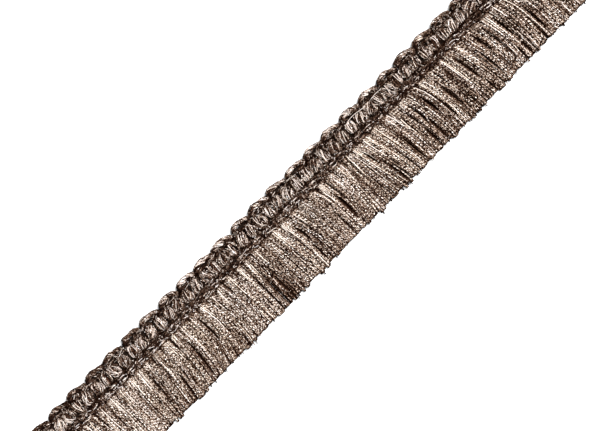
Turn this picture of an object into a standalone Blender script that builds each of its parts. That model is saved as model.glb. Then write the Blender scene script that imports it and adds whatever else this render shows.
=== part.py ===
"""Brush fringe: a cut length of upholstery trimming that lies flat on its back.

X runs along the trimming, +Y points to the scalloped edge of its heading and +Z is up.
The origin is the middle of the heading's flat back, the face that is sewn or glued down.
Every length is in metres.

The heading is a knitted ground band. A thick soft gimp cord winds to and fro across it: each outer
turn is one scallop and each crossing is one puff. Two chain stitches tie the cord down, and a row of
knitted loops covers the roots of the brush.
"""

import math
import random

import bpy

MM = 0.001

# Driving dimensions
SCALLOPS = 29
SCALLOP_PITCH = 10.4 * MM
STITCH_PITCH = SCALLOP_PITCH / 2
LENGTH = SCALLOPS * SCALLOP_PITCH

# Rows of stitches across the trimming
OUTER_CHAIN_Y = 2.9 * MM
INNER_CHAIN_Y = -3.0 * MM
LOOP_ROW_Y = -5.0 * MM

# Ground band, flat on the surface
BAND_OUTER_Y = 2.4 * MM
BAND_INNER_Y = -5.3 * MM
BAND_THICKNESS = 1.0 * MM
BAND_CORNER_BEVEL = 0.25 * MM

# Gimp cord
CORD_SIDES = 6
CORD_COLUMNS = ("along", "across", "centre_height", "half_width", "half_height")
CORD_REPEAT = (
    # one scallop and the two crossings beside it, in millimetres from the scallop's middle
    (-2.70, 2.90, 1.72, 1.20, 0.42),  # tied under the outer chain, on its way out
    (-3.80, 4.00, 1.80, 1.25, 1.20),  # near shoulder of the scallop
    (-2.60, 4.90, 1.95, 1.55, 1.60),
    (-0.30, 5.10, 2.00, 1.50, 1.70),  # crest
    (2.40, 4.75, 1.90, 1.50, 1.55),
    (3.80, 3.90, 1.75, 1.25, 1.15),  # far shoulder
    (2.70, 2.90, 1.72, 1.20, 0.42),  # tied under the outer chain, on its way in
    (2.60, 1.20, 2.75, 2.15, 1.42),  # puff
    (2.60, -1.25, 2.78, 2.25, 1.45),
    (2.60, -3.00, 1.70, 1.25, 0.40),  # tied under the inner chain
    (5.20, -4.35, 1.62, 0.80, 0.32),  # inner turn, under the row of loops
    (7.80, -3.00, 1.70, 1.25, 0.40),
    (7.80, -1.25, 2.78, 2.25, 1.45),  # puff
    (7.80, 1.20, 2.75, 2.15, 1.42),
)

# Chain stitches over the cord: one bead and one waist for each stitch
CHAIN_FLOOR = 2.90 * MM
CHAIN_BEAD = {"width": 0.90 * MM, "height": 0.65 * MM}
CHAIN_WAIST = {"width": 0.55 * MM, "height": 0.45 * MM}
CHAIN_TOP_SHARE = 0.5

# Row of loops over the brush roots
LOOP_ROW_FLOOR = 2.30 * MM
LOOP_ROW_WIDTH = 2.50 * MM
LOOP_RIB_SPREAD = 0.56
LOOP_GROOVE_DEPTH = 0.45 * MM
LOOP_COLUMNS = ("along_share", "width_share", "rib_height")
LOOP_STITCH = (
    # share of the stitch, share of the full width, height of the two ribs in millimetres
    (0.00, 0.78, 0.70),
    (0.30, 1.00, 1.05),
    (0.70, 1.00, 1.00),
)

# Brush: locks of yarn rooted in one narrow strip
LOCKS_PER_SCALLOP = 8
LOCKS_PER_BUNDLE = LOCKS_PER_SCALLOP // 2
ROOT_STRIP_BACK_Y = -5.6 * MM
ROOT_STRIP_FRONT_Y = -6.8 * MM
ROOT_STRIP_HEIGHT = 2.0 * MM
LOCK_GAP = 0.30 * MM
BUNDLE_GAP_RANGE = (0.11 * MM, 0.55 * MM)
CLEFT_FADE = 1.6 * MM
CLEFT_REACH = 6.4 * MM
LOCK_COLUMNS = ("across", "height", "top_share", "spread")
LOCK_STATIONS = (
    # millimetres across and up, top width over bottom width, share of the lean reached
    (-9.2, 3.4, 0.80, 0.04),
    (-19.0, 3.8, 0.74, 0.40),
    (-31.2, 3.0, 0.76, 1.00),  # the cut end
)
HEIGHT_SCATTER = 0.45 * MM
TIP_SCATTER = 0.75 * MM

# Where the brush parts into dark clefts, and how far its ends lean along the trimming
PARTING_COLUMNS = ("along", "width")
PARTINGS = (
    (-131.0, 0.7),
    (-82.0, 1.0),
    (-51.5, 0.8),
    (-26.0, 1.5),
    (-5.2, 0.9),
    (15.4, 1.3),
    (34.5, 1.5),
    (60.6, 1.7),
    (75.0, 1.0),
    (86.2, 1.4),
    (101.5, 1.1),
    (126.0, 1.2),
)
LEAN_COLUMNS = ("along", "lean")
LEANS = (
    (-151.0, 0.6),
    (-95.0, 1.6),
    (-40.0, 0.4),
    (0.0, 1.8),
    (34.0, 4.6),
    (62.0, 2.0),
    (88.0, 3.8),
    (120.0, 2.6),
    (151.0, 1.2),
)

SEED = 41


def rows(columns, table):
    """The rows of a table as dictionaries that are read by column name."""
    return [dict(zip(columns, row)) for row in table]


def interpolate(position, places, values):
    """A value between the rows of a table, eased so that it has no corners."""
    if position <= places[0]:
        return values[0]
    for left, right, low, high in zip(places, places[1:], values, values[1:]):
        if position <= right:
            share = (position - left) / (right - left)
            return low + (high - low) * share * share * (3 - 2 * share)
    return values[-1]


def cloth_material(name, colour, roughness):
    """A plain yarn finish."""
    material = bpy.data.materials.new(name)
    material.use_nodes = True
    shader = material.node_tree.nodes["Principled BSDF"]
    shader.inputs["Base Color"].default_value = (*colour, 1.0)
    shader.inputs["Roughness"].default_value = roughness
    shader.inputs["Metallic"].default_value = 0.0
    return material


def add_solid(name, points, faces, material):
    """One named object from points and outward-facing polygons."""
    mesh = bpy.data.meshes.new(name)
    mesh.from_pydata(points, [], faces)
    mesh.update()
    mesh.materials.append(material)
    solid = bpy.data.objects.new(name, mesh)
    bpy.context.scene.collection.objects.link(solid)
    return solid


def skin_rings(rings):
    """Points and faces of a closed skin through rings of equal size, capped at both ends.

    Each ring runs anticlockwise when it is seen from the end of the run."""
    sides = len(rings[0])
    points = [point for ring in rings for point in ring]
    faces = [tuple(reversed(range(sides)))]
    for ring in range(len(rings) - 1):
        near = ring * sides
        far = near + sides
        for side in range(sides):
            after = (side + 1) % sides
            faces.append((near + side, near + after, far + after, far + side))
    last = (len(rings) - 1) * sides
    faces.append(tuple(range(last, last + sides)))
    return points, faces


def build_heading_band(material):
    """The ground band: a flat strip with eased edges on top."""
    bpy.ops.mesh.primitive_cube_add(size=1.0)
    band = bpy.context.object
    band.name = "heading_band"
    width = BAND_OUTER_Y - BAND_INNER_Y
    middle_y = (BAND_OUTER_Y + BAND_INNER_Y) / 2
    for vertex in band.data.vertices:
        vertex.co.x *= LENGTH
        vertex.co.y = vertex.co.y * width + middle_y
        vertex.co.z = (vertex.co.z + 0.5) * BAND_THICKNESS
    bevel = band.modifiers.new("eased_edges", "BEVEL")
    bevel.width = BAND_CORNER_BEVEL
    bevel.segments = 1
    bevel.limit_method = "ANGLE"
    band.data.materials.append(material)
    return band


def gimp_cord_stations():
    """Every station of the gimp cord, scallop by scallop, trimmed to the two cut ends."""
    stations = []
    for scallop in range(-1, SCALLOPS):
        middle_x = (scallop + 0.5) * SCALLOP_PITCH - LENGTH / 2
        for row in rows(CORD_COLUMNS, CORD_REPEAT):
            station = {column: value * MM for column, value in row.items()}
            station["along"] += middle_x
            if abs(station["along"]) + station["half_width"] <= LENGTH / 2:
                stations.append(station)
    return stations


def build_gimp_cord(material):
    """The thick cord, an oval carried along its stations and turned to follow them in plan."""
    stations = gimp_cord_stations()
    rings = []
    for index, station in enumerate(stations):
        before = stations[max(index - 1, 0)]
        after = stations[min(index + 1, len(stations) - 1)]
        run_x = after["along"] - before["along"]
        run_y = after["across"] - before["across"]
        run = math.hypot(run_x, run_y)
        side_x, side_y = -run_y / run, run_x / run
        ring = []
        for corner in range(CORD_SIDES):
            angle = 2 * math.pi * corner / CORD_SIDES
            out = station["half_width"] * math.cos(angle)
            up = station["half_height"] * math.sin(angle) / math.cos(math.pi / CORD_SIDES)
            ring.append(
                (
                    station["along"] + side_x * out,
                    station["across"] + side_y * out,
                    station["centre_height"] + up,
                )
            )
        rings.append(ring)
    points, faces = skin_rings(rings)
    return add_solid("gimp_cord", points, faces, material)


def build_chain(name, middle_y, material):
    """A chain stitch: a flat bead for each stitch, drawn in to a waist between them."""
    rings = []
    for half_stitch in range(4 * SCALLOPS + 1):
        x = half_stitch * STITCH_PITCH / 2 - LENGTH / 2
        part = CHAIN_BEAD if half_stitch % 2 == 1 else CHAIN_WAIST
        half_width = part["width"] / 2
        half_top = half_width * CHAIN_TOP_SHARE
        top = CHAIN_FLOOR + part["height"]
        rings.append(
            [
                (x, middle_y + half_width, CHAIN_FLOOR),
                (x, middle_y + half_top, top),
                (x, middle_y - half_top, top),
                (x, middle_y - half_width, CHAIN_FLOOR),
            ]
        )
    points, faces = skin_rings(rings)
    return add_solid(name, points, faces, material)


def build_loop_row(material):
    """The row of loops: two ribs with a groove between them, drawn in once for each stitch."""
    rings = []
    stitch = rows(LOOP_COLUMNS, LOOP_STITCH)
    places = [(number, row) for number in range(2 * SCALLOPS) for row in stitch]
    places.append((2 * SCALLOPS, stitch[0]))
    for number, row in places:
        x = (number + row["along_share"]) * STITCH_PITCH - LENGTH / 2
        half_width = LOOP_ROW_WIDTH / 2 * row["width_share"]
        rib_top = LOOP_ROW_FLOOR + row["rib_height"] * MM
        rib_y = half_width * LOOP_RIB_SPREAD
        rings.append(
            [
                (x, LOOP_ROW_Y + half_width, LOOP_ROW_FLOOR),
                (x, LOOP_ROW_Y + rib_y, rib_top),
                (x, LOOP_ROW_Y, rib_top - LOOP_GROOVE_DEPTH * row["width_share"]),
                (x, LOOP_ROW_Y - rib_y, rib_top),
                (x, LOOP_ROW_Y - half_width, LOOP_ROW_FLOOR),
            ]
        )
    points, faces = skin_rings(rings)
    return add_solid("loop_row", points, faces, material)


def lock_pitch_lines():
    """The lines between the locks where they leave the root strip, from one end to the other."""
    count = SCALLOPS * LOCKS_PER_SCALLOP
    return [line * LENGTH / count - LENGTH / 2 for line in range(count + 1)]


def brush_clefts(dice):
    """Where the brush opens, as a line's number and the cleft's width: between bundles and at partings."""
    count = SCALLOPS * LOCKS_PER_SCALLOP
    clefts = {
        line: dice.uniform(*BUNDLE_GAP_RANGE)
        for line in range(LOCKS_PER_BUNDLE, count, LOCKS_PER_BUNDLE)
    }
    for parting in rows(PARTING_COLUMNS, PARTINGS):
        line = round((parting["along"] * MM + LENGTH / 2) / LENGTH * count)
        clefts[line] = parting["width"] * MM
    return clefts


def pushed_aside(root_x, direction, lines, clefts):
    """How far the clefts push one edge of a lock, most beside a cleft and less further away."""
    push = 0.0
    for line, width in clefts.items():
        away = root_x - lines[line]
        if abs(away) < CLEFT_REACH:
            side = 1 if away > 0 or (away == 0 and direction > 0) else -1
            push += side * (width / 2) * math.exp(-abs(away) / CLEFT_FADE)
    return push


def lock_edges(spread):
    """Where each lock begins and ends along the trimming, once it has reached a share of its lean.

    Locks are pushed apart by the clefts and never cross."""
    lines = lock_pitch_lines()
    clefts = brush_clefts(random.Random(SEED))
    leans = rows(LEAN_COLUMNS, LEANS)
    lean_places = [row["along"] * MM for row in leans]
    lean_values = [row["lean"] * MM for row in leans]
    edges = []
    for left, right in zip(lines, lines[1:]):
        pair = []
        for root_x, direction in ((left, 1), (right, -1)):
            end_fade = min(1.0, (LENGTH / 2 - abs(root_x)) / SCALLOP_PITCH)
            lean = interpolate(root_x, lean_places, lean_values)
            push = pushed_aside(root_x, direction, lines, clefts)
            pair.append(root_x + direction * LOCK_GAP / 2 + (lean + push) * spread * end_fade)
        edges.append(tuple(pair))
    return edges


def ring_of(points, left, right, top_share, y, height):
    """Adds one four-sided ring of a lock, standing on the surface, and gives its point numbers."""
    first = len(points)
    middle = (left + right) / 2
    top_half = (right - left) / 2 * top_share
    points += [
        (left, y, 0.0),
        (right, y, 0.0),
        (middle + top_half, y, height),
        (middle - top_half, y, height),
    ]
    return [first, first + 1, first + 2, first + 3]


def lock_rings(points):
    """The rings of every lock from the root strip to the cut end, with their points added."""
    rings = [
        [ring_of(points, left, right, 1.0, ROOT_STRIP_FRONT_Y, ROOT_STRIP_HEIGHT)]
        for left, right in lock_edges(0.0)
    ]
    dice = random.Random(SEED + 1)
    heights = [dice.uniform(-1.0, 1.0) * HEIGHT_SCATTER for _ in rings]
    reaches = [dice.uniform(0.0, 1.0) * TIP_SCATTER for _ in rings]
    for station in rows(LOCK_COLUMNS, LOCK_STATIONS):
        is_tip = station["spread"] == 1.0
        for lock, (left, right) in enumerate(lock_edges(station["spread"])):
            y = station["across"] * MM + (reaches[lock] if is_tip else 0.0)
            height = station["height"] * MM + heights[lock]
            rings[lock].append(ring_of(points, left, right, station["top_share"], y, height))
    return rings


def build_brush(material):
    """The brush: locks that stand apart, grown from the front face of one root strip."""
    end_x = LENGTH / 2
    points = [
        (-end_x, ROOT_STRIP_BACK_Y, 0.0),
        (end_x, ROOT_STRIP_BACK_Y, 0.0),
        (end_x, ROOT_STRIP_BACK_Y, ROOT_STRIP_HEIGHT),
        (-end_x, ROOT_STRIP_BACK_Y, ROOT_STRIP_HEIGHT),
        (-end_x, ROOT_STRIP_FRONT_Y, 0.0),
        (-end_x, ROOT_STRIP_FRONT_Y, ROOT_STRIP_HEIGHT),
        (end_x, ROOT_STRIP_FRONT_Y, 0.0),
        (end_x, ROOT_STRIP_FRONT_Y, ROOT_STRIP_HEIGHT),
    ]
    back_left, back_right, back_right_top, back_left_top = 0, 1, 2, 3
    front_left, front_left_top, front_right, front_right_top = 4, 5, 6, 7

    faces = [(back_left, back_left_top, back_right_top, back_right)]
    bottom_front = [front_left]
    top_front = [front_left_top]
    for rings in lock_rings(points):
        root = rings[0]
        faces.append((bottom_front[-1], root[0], root[3], top_front[-1]))
        bottom_front += [root[0], root[1]]
        top_front += [root[3], root[2]]
        for near, far in zip(rings, rings[1:]):
            for side in range(len(near)):
                after = (side + 1) % len(near)
                faces.append((near[side], near[after], far[after], far[side]))
        faces.append(tuple(rings[-1]))
    faces.append((bottom_front[-1], front_right, front_right_top, top_front[-1]))
    bottom_front.append(front_right)
    top_front.append(front_right_top)
    faces.append((back_left, back_right, *reversed(bottom_front)))
    faces.append((back_right_top, back_left_top, *top_front))
    faces.append((back_left, front_left, front_left_top, back_left_top))
    faces.append((back_right, back_right_top, front_right_top, front_right))
    return add_solid("brush", points, faces, material)


def clear_scene():
    """Removes whatever the file holds."""
    for thing in list(bpy.data.objects):
        bpy.data.objects.remove(thing, do_unlink=True)


def main():
    """Builds the six pieces of the fringe."""
    clear_scene()
    ground = cloth_material("ground_yarn", (0.045, 0.031, 0.024), 0.75)
    gimp = cloth_material("gimp_yarn", (0.22, 0.165, 0.135), 0.45)
    chain = cloth_material("chain_yarn", (0.065, 0.044, 0.035), 0.65)
    loops = cloth_material("loop_yarn", (0.13, 0.095, 0.076), 0.6)
    fringe = cloth_material("brush_yarn", (0.30, 0.235, 0.19), 0.5)
    build_heading_band(ground)
    build_gimp_cord(gimp)
    build_chain("outer_chain", OUTER_CHAIN_Y, chain)
    build_chain("inner_chain", INNER_CHAIN_Y, chain)
    build_loop_row(loops)
    build_brush(fringe)


main()
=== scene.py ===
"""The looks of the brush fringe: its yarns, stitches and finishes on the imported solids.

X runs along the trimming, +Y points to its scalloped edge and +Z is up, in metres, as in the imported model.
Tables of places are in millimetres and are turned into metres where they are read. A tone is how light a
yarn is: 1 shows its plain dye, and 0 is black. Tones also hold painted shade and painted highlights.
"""

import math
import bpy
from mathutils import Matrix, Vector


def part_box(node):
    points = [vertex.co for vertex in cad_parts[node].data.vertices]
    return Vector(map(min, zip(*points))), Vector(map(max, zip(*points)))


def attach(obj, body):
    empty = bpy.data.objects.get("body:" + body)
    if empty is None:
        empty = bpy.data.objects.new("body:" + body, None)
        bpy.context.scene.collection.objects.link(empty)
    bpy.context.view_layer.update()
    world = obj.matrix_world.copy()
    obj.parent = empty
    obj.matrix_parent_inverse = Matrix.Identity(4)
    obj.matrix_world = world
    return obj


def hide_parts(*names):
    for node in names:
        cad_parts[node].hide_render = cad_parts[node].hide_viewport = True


bl_info = {
    "name": "Brush Fringe",
    "version": (1, 0, 0),
    "blender": (4, 5, 0),
    "location": "View3D > Sidebar > Fringe",
    "description": "Builds the yarns, stitches and finishes of a brush fringe on its packed solids",
    "category": "Object",
}

import bpy
import numpy as np
from bpy.props import FloatProperty, FloatVectorProperty, IntProperty, PointerProperty

MM = 0.001
TURN = 2.0 * math.pi

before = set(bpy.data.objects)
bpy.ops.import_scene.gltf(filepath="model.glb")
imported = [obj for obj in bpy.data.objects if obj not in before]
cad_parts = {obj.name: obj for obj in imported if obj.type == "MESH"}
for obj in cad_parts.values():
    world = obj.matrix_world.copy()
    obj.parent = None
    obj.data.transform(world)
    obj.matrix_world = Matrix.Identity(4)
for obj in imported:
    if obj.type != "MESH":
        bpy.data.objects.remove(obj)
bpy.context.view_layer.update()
BAND_LOW, BAND_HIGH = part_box("heading_band")
BRUSH_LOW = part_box("brush")[0]
LENGTH = BAND_HIGH.x - BAND_LOW.x
SCALLOPS = 29
SCALLOP = LENGTH / SCALLOPS
STITCHES = 2 * SCALLOPS  # also the number of bundles in the brush
STITCH = SCALLOP / 2

GROUND_OUTER_Y = 4.4 * MM
GROUND_INNER_Y = BAND_LOW.y - 0.8 * MM  # under the roots of the brush
GROUND_TOP = 0.85 * MM
GROUND_RELIEF = 0.22 * MM
GROUND_GRID = (465, 29)  # points along and across
WALE_WIDTH = 1.1 * MM
KNIT_STITCH = 1.3 * MM

CORD_STRAY = (0.32, 0.14, 0.06)  # how far the cord strays along, across and in height, in millimetres
CORD_CHANGE = (0.12, 0.08, 0.16)  # by what share its half width, half height and light change
LIGHTEST_STITCH = 2.2  # the lightest tone of a link or crossing end, past which it would turn white
LINK_STRAY = (0.30 * MM, 0.12 * MM, 0.05 * MM)  # how far links stray along, across and in height
LINK_CHANGE = (0.10, 0.18)  # by what share a link's half length and half width change

BRUSH_NAMES = ("brush_back_yarns", "brush_lower_yarns", "brush_upper_yarns", "brush_face_yarns")
BRUSH_ROOT_Y = -6.3 * MM
BRUSH_THICKNESS = 3.75 * MM
BACK_YARN_SWELL = 1.3  # the undermost yarns of the brush spread, so no floor shows between them
# Shares of the way down the brush, closer together near the roots and the cut end, where painted shade darkens
# the yarn.
DOWN = np.concatenate([(0.0, 0.036, 0.062), np.linspace(0.12, 0.970, 10), (0.984, 1.0)])

FLOOR_HALF = 3.0
VIEW_LENGTH = 242.45 * MM  # how much the camera takes in, measured level
VIEW_CENTRE_Y = -11.15 * MM
VIEW_TURN = -45.72  # degrees

# One scallop of the gimp cord and its two crossings, in millimetres from the scallop's middle: along, across,
# height, half width, half height and light. The light is painted shade and highlight: darkest at each scallop's
# steep start and where the chains tie the cord down, lightest on the crests and puffs.
CORD_REPEAT = (
    (-2.70, 2.80, 1.75, 1.10, 0.40, 0.12),  # tied under the outer chain, on its way out
    (-3.90, 3.50, 2.05, 1.10, 0.95, 0.05),  # steep start of the scallop
    (-3.70, 4.65, 2.40, 1.20, 1.15, 0.45),
    (-1.90, 5.45, 2.60, 1.12, 1.20, 1.50),  # crest
    (0.30, 5.40, 2.50, 1.12, 1.20, 1.65),
    (2.50, 5.00, 2.15, 1.05, 1.10, 1.35),
    (4.60, 4.25, 1.85, 1.05, 0.85, 0.60),  # tail, tucked under the next scallop
    (4.40, 3.20, 1.70, 0.95, 0.70, 0.20),
    (2.70, 2.80, 1.65, 1.10, 0.40, 0.15),  # tied under the outer chain, on its way in
    (2.05, 1.50, 2.60, 2.35, 1.20, 1.30),  # puff
    (1.95, -1.60, 2.75, 2.60, 1.25, 1.60),
    (2.60, -3.10, 1.65, 1.25, 0.38, 0.45),  # tied under the inner chain
    (5.20, -4.30, 1.55, 0.75, 0.30, 0.25),  # inner turn, under the row of loops
    (7.80, -3.10, 1.65, 1.25, 0.38, 0.45),
    (7.40, -1.60, 2.75, 2.60, 1.25, 1.60),  # puff
    (7.40, 1.50, 2.60, 2.35, 1.20, 1.30),
)


def columns(names, *rows):
    """The columns of a table as arrays, by name."""
    return dict(zip(names.split(), np.array(rows, float).T))


# How light each row of the heading is from place to place.
ROW_LIGHTS = columns(
    "along scallops puffs outer_chain inner_chain loops",
    (-112, 0.36, 1.18, 1, 0.85, 1.15), (-82, 0.52, 1.12, 1, 0.95, 1.25), (-66, 0.96, 1, 0.88, 1.4, 1.25),
    (-46, 1.05, 1, 0.82, 1.45, 1.2), (-20, 1.3, 1.02, 1, 1.2, 1.12), (12, 1.3, 1.08, 0.98, 1.2, 1),
    (30, 1.1, 1.22, 0.75, 1.3, 0.65), (50, 1.02, 1.22, 0.75, 1.2, 0.7), (70, 1, 1.12, 0.85, 0.92, 0.98),
    (88, 0.52, 0.88, 0.87, 0.42, 0.95), (112, 0.42, 0.86, 0.87, 0.38, 0.92),
)

# How far the cut ends lean along the trimming, how far the middle bows out that way, and the brush's light.
LEANS = columns(
    "along lean bow light",
    (-151, 0.2, 0.3, 1), (-120, 0.6, 0.5, 1.1), (-105, -0.6, 0.6, 1.15), (-95, -2, 0.6, 1.12),
    (-86, -2.6, 0.6, 1.06), (-77, -2.6, 1.2, 1), (-69, -2.3, 1.3, 0.92), (-62, -2.6, 1.8, 0.9),
    (-54, -0.8, 1.4, 0.9), (-46, -0.8, 1.2, 0.92), (-38, 0.5, 0.5, 0.95), (-30, 0.1, 0.4, 1),
    (-22, 1.2, 0.1, 1), (-14, 2.4, 0.2, 1), (-6, 2.7, 0.5, 1), (2, 3, 0.3, 1), (9, 1.6, 0.3, 1),
    (18, 0.2, 0.9, 1), (22, -0.6, 0.6, 1), (26, -0.8, 0, 1), (29, 1, -0.6, 1), (32, 4.8, -0.5, 1),
    (36, 5, 0, 1), (42, 4.4, -0.1, 0.98), (50, 2.4, -0.2, 0.92), (58, 2.4, 0.1, 0.82), (66, 3.4, 0.1, 0.78),
    (74, 2.5, 0.8, 0.78), (82, 2.8, 0, 0.82), (90, 3.8, 0.4, 0.86), (98, 2.3, 0.3, 0.9),
    (106, 2.4, 0.5, 0.88), (130, 2, 0.3, 1), (151, 0.8, 0.2, 1),
)

# Where the brush parts: the place of the cleft's middle, how far down the brush it lies from loops (0)
# to cut ends (1), how long it is on that scale, its width and how deep it opens.
CLEFTS = columns(
    "along down reach width depth",
    (-143, 0.5, 0.3, 1, 0.7), (-136, 0.2, 0.2, 0.7, 0.6), (-127, 0.7, 0.3, 1, 0.8),
    (-114.8, 0.16, 0.28, 0.9, 0.5), (-109.4, 0.35, 0.25, 0.6, 0.5), (-89.2, 0.42, 0.26, 1, 0.8),
    (-83.4, 0.08, 0.18, 0.6, 0.65), (-83, 0.88, 0.14, 0.9, 0.65), (-81, 0.78, 0.26, 1.3, 0.75),
    (-78.2, 0.56, 0.12, 0.9, 0.55), (-77.5, 0.72, 0.14, 0.7, 0.65), (-73, 0.1, 0.16, 0.7, 0.6),
    (-69.2, 0.62, 0.38, 1.4, 0.85), (-58.7, 0.38, 0.28, 1, 0.8), (-51.5, 0.88, 0.12, 0.7, 0.5),
    (-48.2, 0.3, 0.16, 0.6, 0.55), (-42, 0.1, 0.16, 1, 0.85), (-34.2, 0.7, 0.14, 0.6, 0.6),
    (-31.8, 0.72, 0.36, 0.8, 0.75), (-28.2, 0.8, 0.26, 1, 0.85), (-26.5, 0.28, 0.12, 0.6, 0.55),
    (-28.6, 0.7, 0.32, 2.4, 0.5), (-25.4, 0.74, 0.3, 2.2, 0.55), (-26.8, 0.93, 0.2, 1.2, 0.95),
    (-25.6, 0.82, 0.26, 1.1, 0.95), (-24, 0.83, 0.22, 0.8, 0.85), (-24.7, 0.48, 0.14, 0.7, 0.65),
    (-22.9, 0.72, 0.14, 0.5, 0.65), (-12.7, 0.58, 0.2, 0.6, 0.65), (-8.4, 0.52, 0.24, 0.6, 0.75),
    (-5.2, 0.38, 0.18, 1.4, 0.95), (-3, 0.62, 0.18, 1.1, 0.85), (-5.6, 0.8, 0.18, 0.9, 0.9),
    (9.6, 0.74, 0.2, 0.8, 0.85), (10.7, 0.03, 0.12, 1.2, 0.6), (15, 0.54, 0.24, 1.5, 0.95),
    (15.9, 0.25, 0.18, 0.6, 0.6), (20.6, 0.1, 0.14, 0.6, 0.6), (27.8, 0.16, 0.16, 0.6, 0.55),
    (35, 0.3, 0.14, 0.9, 0.65), (39.1, 0.74, 0.24, 0.9, 0.9), (40.6, 0.62, 0.12, 0.8, 0.8),
    (50.2, 0.7, 0.24, 0.8, 0.85), (55.3, 0.45, 0.2, 0.7, 0.65), (58.3, 0.37, 0.16, 0.8, 0.65),
    (59, 0.78, 0.24, 1.6, 0.6), (61.4, 0.4, 0.26, 1.1, 0.9), (62.7, 0.78, 0.28, 1.9, 0.8),
    (67, 0.4, 0.2, 1.2, 0.95), (71.3, 0.7, 0.16, 0.6, 0.6), (75.8, 0.54, 0.18, 1.7, 0.6),
    (77.4, 0.22, 0.1, 0.7, 0.65), (77.7, 0.82, 0.12, 0.6, 0.75), (83.7, 0.91, 0.12, 0.7, 0.8),
    (88, 0.42, 0.32, 1.4, 0.95), (89.8, 0.88, 0.14, 0.9, 0.8), (96.2, 0.62, 0.26, 0.7, 0.7),
    (99, 0.3, 0.2, 1.5, 0.65), (103.9, 0.38, 0.22, 0.9, 0.75), (104.8, 0.7, 0.14, 0.7, 0.7),
    (107.6, 0.86, 0.16, 0.9, 0.75), (109.7, 0.37, 0.22, 1.1, 0.95), (110.5, 0.86, 0.16, 1.5, 0.65),
    (121, 0.6, 0.25, 0.9, 0.75), (131, 0.3, 0.2, 0.7, 0.6), (140, 0.75, 0.25, 1, 0.75),
)

# Smooth bright bundles of painted sheen: where each lies a fifth of the way down, its width, how much lighter
# it is, and how far down the brush the painted sheen reaches.
BRIGHT_DOWN = 0.2
BRIGHT_BUNDLES = columns(
    "along width gain reach",
    (-141, 1.8, 0.8, 0.35), (-130.5, 1.6, 0.7, 0.3), (-118, 1.8, 1, 0.35), (-112.3, 1.6, 0.9, 0.35),
    (-105.8, 1.8, 1.1, 0.4), (-100.6, 2, 1.3, 0.45), (-94.6, 2, 1.3, 0.45), (-90.9, 2.2, 1.3, 0.35),
    (-86.2, 1.4, 0.9, 0.4), (-75.4, 2, 1.1, 0.4), (-71.3, 1.6, 0.7, 0.25), (-64.6, 1.6, 0.7, 0.25),
    (-60.6, 1.4, 0.6, 0.25), (-54.2, 2.2, 1.1, 0.45), (-45.6, 1.3, 1, 0.5), (-39, 2.2, 0.5, 0.2),
    (-33.4, 2.2, 1, 0.35), (-24.2, 1.4, 0.8, 0.4), (-12.3, 2.2, 1, 0.3), (-8.6, 1.8, 1, 0.4),
    (1.8, 1.4, 0.8, 0.55), (7.8, 1.8, 0.7, 0.2), (12.3, 1.2, 0.5, 0.3), (18.9, 1.3, 1.2, 0.7),
    (22.6, 1.2, 0.6, 0.25), (29.5, 1.6, 0.4, 0.2), (32.8, 2.6, 0.65, 1), (38.8, 1.6, 0.55, 0.55),
    (44, 0.9, 0.35, 0.5), (52.1, 1.3, 0.5, 0.35), (59, 1.4, 0.7, 0.2), (69.3, 1.5, 0.6, 0.2),
    (74.2, 1.4, 0.7, 0.2), (79.6, 1.3, 0.7, 0.2), (83.7, 2, 0.8, 0.85), (91, 1, 0.7, 0.6),
    (105, 1.2, 0.5, 0.9), (111, 1.6, 0.8, 0.3), (122.5, 1.8, 0.8, 0.4), (134, 1.6, 0.7, 0.3),
    (145, 1.4, 0.7, 0.3),
)

# The yarn effect's numbers and what they are where a finish doesn't say.
YARN_DEFAULTS = {
    "Tone": 1.0, "Warmth": 0.5, "Plies": 2.0, "Twist": 2.2, "Groove Shade": 0.35, "Side Shade": 0.5,
    "Crimp": 0.0, "Fleck Length": 1.0, "Fleck Strength": 0.5, "Cloud Size": 900.0, "Cloud Strength": 0.3,
    "Softness": 0.0,
}


def length_setting(name, description, default, least=0.1 * MM):
    """A thickness or reach that a user may change."""
    return FloatProperty(
        name=name, description=description, default=default, min=least, unit="LENGTH", subtype="DISTANCE"
    )


def colour_setting(name, description, default):
    """A colour that a user may change."""
    return FloatVectorProperty(
        name=name, description=description, default=default, subtype="COLOR", size=3, min=0.0, max=1.0
    )


class FringeSizes(bpy.types.PropertyGroup):
    """Sizes of the trimming that a user would change."""

    gimp_ends: IntProperty(
        name="Gimp ends",
        description="How many fine ends lie side by side in the gimp cord",
        default=28,
        min=6,
        max=32,
    )
    gimp_end_width: length_setting("Gimp end width", "Thickness of one end of the gimp cord", 0.38 * MM)
    chain_yarn_width: length_setting(
        "Chain yarn width", "Thickness of the yarn of the two chain stitches", 0.32 * MM
    )
    loop_yarn_width: length_setting("Loop yarn width", "Thickness of one end of the knitted loops", 0.36 * MM)
    brush_yarns: IntProperty(
        name="Brush yarns",
        description="How many cut yarns the brush has from one end of the trimming to the other",
        default=5000,
        min=200,
        max=6000,
    )
    brush_yarn_width: length_setting("Brush yarn width", "Thickness of one cut yarn of the brush", 0.50 * MM)
    unevenness: length_setting(
        "Uneven ends", "How far the cut ends stand before or behind one another", 0.55 * MM, least=0.0
    )
    seed: IntProperty(name="Seed", description="Chooses how the yarns happen to lie", default=41, min=0)


class FringeColours(bpy.types.PropertyGroup):
    """Dye colours of the yarns and the colour of the floor."""

    ground: colour_setting("Ground yarn", "Dark yarn of the knitted ground band", (0.018, 0.011, 0.008))
    gimp: colour_setting("Gimp yarn", "Lustrous yarn of the gimp cord", (0.58, 0.457, 0.378))
    chain: colour_setting("Chain yarn", "Dark yarn of the two chain stitches", (0.33, 0.262, 0.22))
    loops: colour_setting("Loop yarn", "Yarn of the knitted loops over the brush roots", (0.49, 0.39, 0.33))
    brush: colour_setting("Brush yarn", "Lustrous yarn of the brush", (0.64, 0.535, 0.452))
    floor: colour_setting("Floor", "Pale floor under the trimming", (0.93, 0.93, 0.93))


def at(table, name, x):
    """A column of a table at places x in metres, read off between its rows in straight lines."""
    return np.interp(x / MM, table["along"], table[name])


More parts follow.
